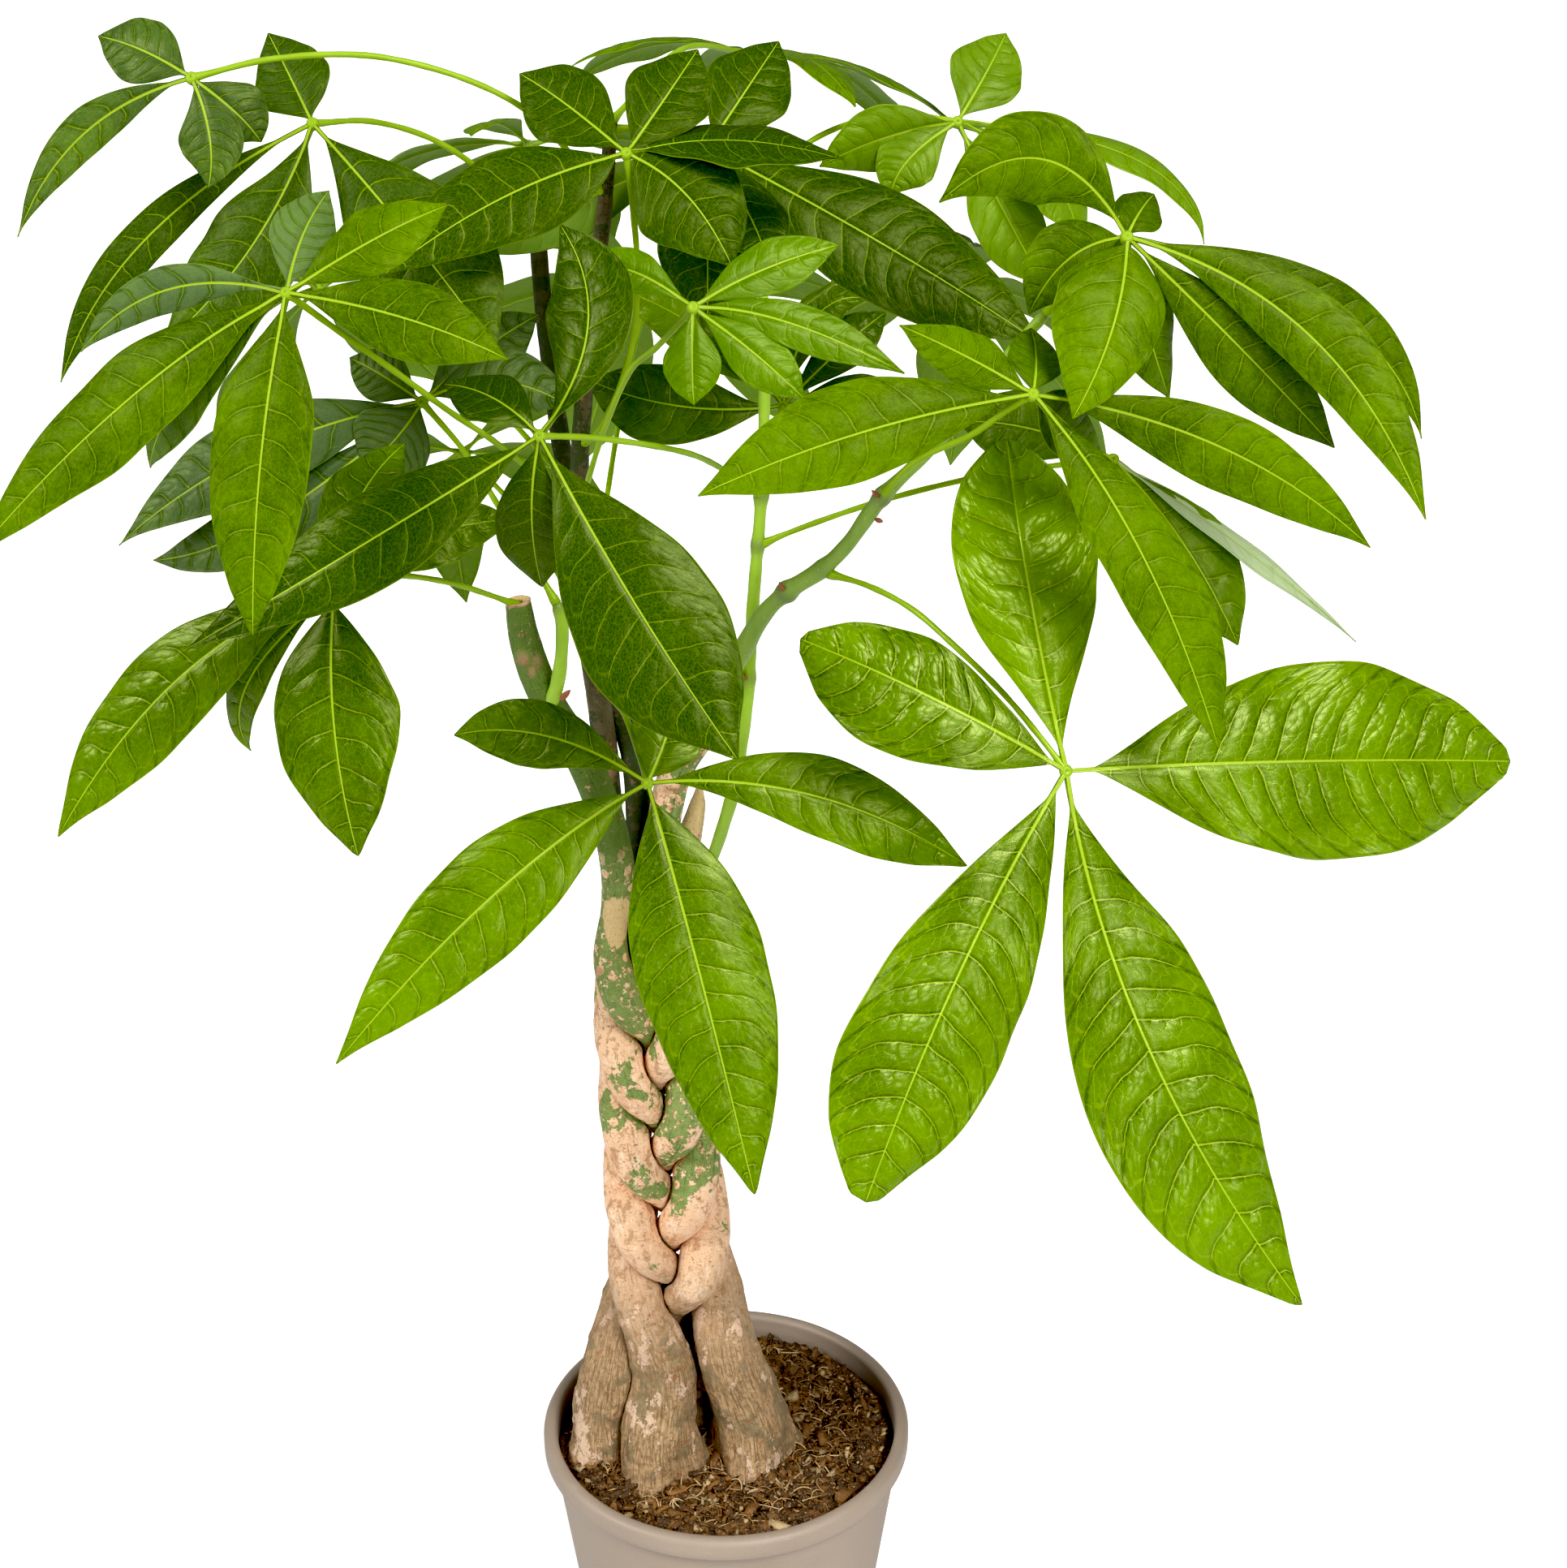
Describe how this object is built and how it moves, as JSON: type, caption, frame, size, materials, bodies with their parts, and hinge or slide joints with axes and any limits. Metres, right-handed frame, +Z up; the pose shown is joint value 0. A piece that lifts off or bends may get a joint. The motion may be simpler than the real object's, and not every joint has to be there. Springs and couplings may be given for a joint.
{
  "type": "potted money tree",
  "caption": "Potted money tree: braided trunks rising from soil in a round nursery pot, with green shoots and hand-shaped leaves.",
  "frame": {"origin": "middle of the pot's flat underside, on the surface that the pot stands on", "axes": "+Z up along the pot's axis, -Y towards the viewer of the picture, +X to the viewer's right"},
  "size_m": [0.5583, 0.4517, 0.7896],
  "materials": {
    "pot_plastic": "taupe nursery-pot plastic with a satin lip and fine scuffs",
    "potting_soil": "coarse dark coco and peat fibre",
    "bark": "pinkish-beige bark with green patches, rough and flaky at the foot",
    "green_shoot": "smooth living green stem",
    "leaf": "waxy green leaf with pale veins, paler underneath",
    "young_leaf": "soft bright young leaf with pale veins"
  },
  "bodies": {
    "root": {"pot": "pot_plastic", "soil": "potting_soil", "trunk_left": "bark", "trunk_front": "bark", "trunk_right": "bark", "trunk_back": "bark", "trunk_stub": "bark", "shoot_middle": "green_shoot", "shoot_right": "green_shoot", "shoot_left": "green_shoot", "leaf_front_right": "leaf", "leaf_front_low": "leaf", "leaf_left_centre": "leaf", "leaf_right_centre": "leaf", "leaf_right_upper": "leaf", "leaf_left_upper": "leaf", "leaf_young": "young_leaf", "leaf_left_low": "leaf", "leaf_left_middle": "leaf", "leaf_left_top": "leaf", "leaf_far_left": "leaf", "leaf_top_centre": "leaf", "leaf_top_right": "leaf", "leaf_right_top": "leaf", "leaf_middle_back": "leaf", "leaf_right_back": "leaf", "leaf_back_left": "leaf", "leaf_back_right": "leaf", "leaf_back_middle": "leaf", "leaf_back_high": "leaf", "leaf_back_low": "leaf", "leaf_crown": "leaf"}
  },
  "joints": []
}
